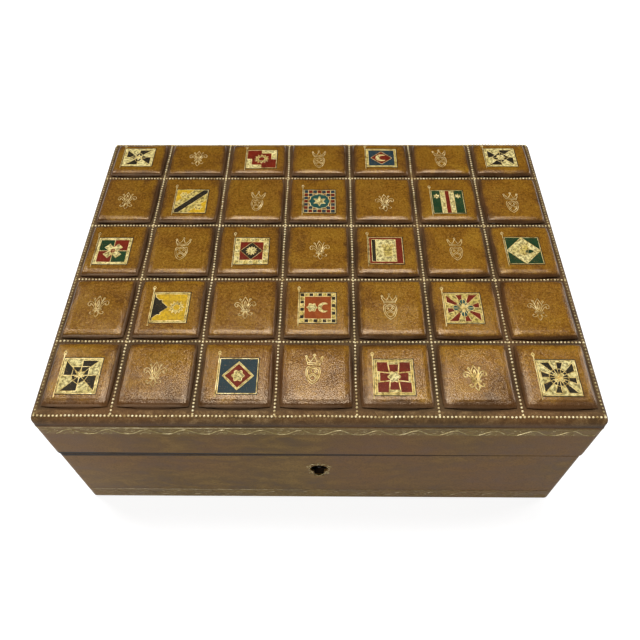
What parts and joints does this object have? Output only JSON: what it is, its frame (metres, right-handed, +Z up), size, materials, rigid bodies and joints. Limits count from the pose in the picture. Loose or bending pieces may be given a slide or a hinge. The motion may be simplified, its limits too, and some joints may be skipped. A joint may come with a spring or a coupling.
{
  "type": "jewelry casket",
  "caption": "Leather-covered jewelry casket with a moulded padded lid, gilt-tooled, on two hidden butt hinges, with a keyhole and a sliding-bolt box lock in front.",
  "frame": {"origin": "on the floor, under the middle of the casket", "axes": "+Z up, +X to the right along the front, the front and its keyhole face -Y"},
  "size_m": [0.25, 0.18, 0.1018],
  "materials": {
    "tooled_leather": "moulded calf, amber to dark brown, satin, gilt and painted tooling",
    "side_leather": "smooth grey-brown calf, satin, gilt bands",
    "underside_suede": "dark suede",
    "carcass_wood": "sanded, bare",
    "lining_silk": "dark red ribbed silk",
    "wadding": "cotton wadding",
    "brass": "satin, aged",
    "steel": "brushed"
  },
  "bodies": {
    "root": {"base_bottom_board": "carcass_wood", "base_front_board": "carcass_wood", "base_back_board": "carcass_wood", "base_left_board": "carcass_wood", "base_right_board": "carcass_wood", "base_leather": "side_leather", "base_underside_cover": "underside_suede", "base_lining": "lining_silk", "base_floor_pad": "lining_silk", "lock_plate": "brass", "lock_case": "brass", "lock_bolt_stud": "brass", "lock_drill_pin": "steel", "lock_spring": "steel", "lock_rim_screw_1": "brass", "lock_rim_screw_2": "brass", "lock_plate_screw_1": "brass", "lock_plate_screw_2": "brass", "left_hinge_base_leaf": "brass", "left_hinge_pin": "brass", "left_hinge_base_screw_1": "brass", "left_hinge_base_screw_2": "brass", "right_hinge_base_leaf": "brass", "right_hinge_pin": "brass", "right_hinge_base_screw_1": "brass", "right_hinge_base_screw_2": "brass"},
    "lid": {"lid_top_board": "carcass_wood", "lid_front_rail": "carcass_wood", "lid_back_rail": "carcass_wood", "lid_left_rail": "carcass_wood", "lid_right_rail": "carcass_wood", "lid_side_leather": "side_leather", "lid_padding": "wadding", "lid_top_leather": "tooled_leather", "lid_lining": "lining_silk", "lid_ceiling_pad": "lining_silk", "lock_link_plate": "brass", "link_plate_screw_1": "brass", "link_plate_screw_2": "brass", "left_hinge_lid_leaf": "brass", "left_hinge_lid_screw_1": "brass", "left_hinge_lid_screw_2": "brass", "right_hinge_lid_leaf": "brass", "right_hinge_lid_screw_1": "brass", "right_hinge_lid_screw_2": "brass"},
    "lock_bolt": {"lock_bolt": "steel"}
  },
  "joints": [
    {"name": "lid_hinge", "type": "hinge", "parent": "root", "child": "lid", "pos_m": [0, 0.087, 0.0611], "axis": [-1, 0, 0], "range_deg": [0, 98]},
    {"name": "lock_bolt_slide", "type": "slide", "parent": "root", "child": "lock_bolt", "axis": [1, 0, 0], "range_m": [0, 0.0036]}
  ]
}
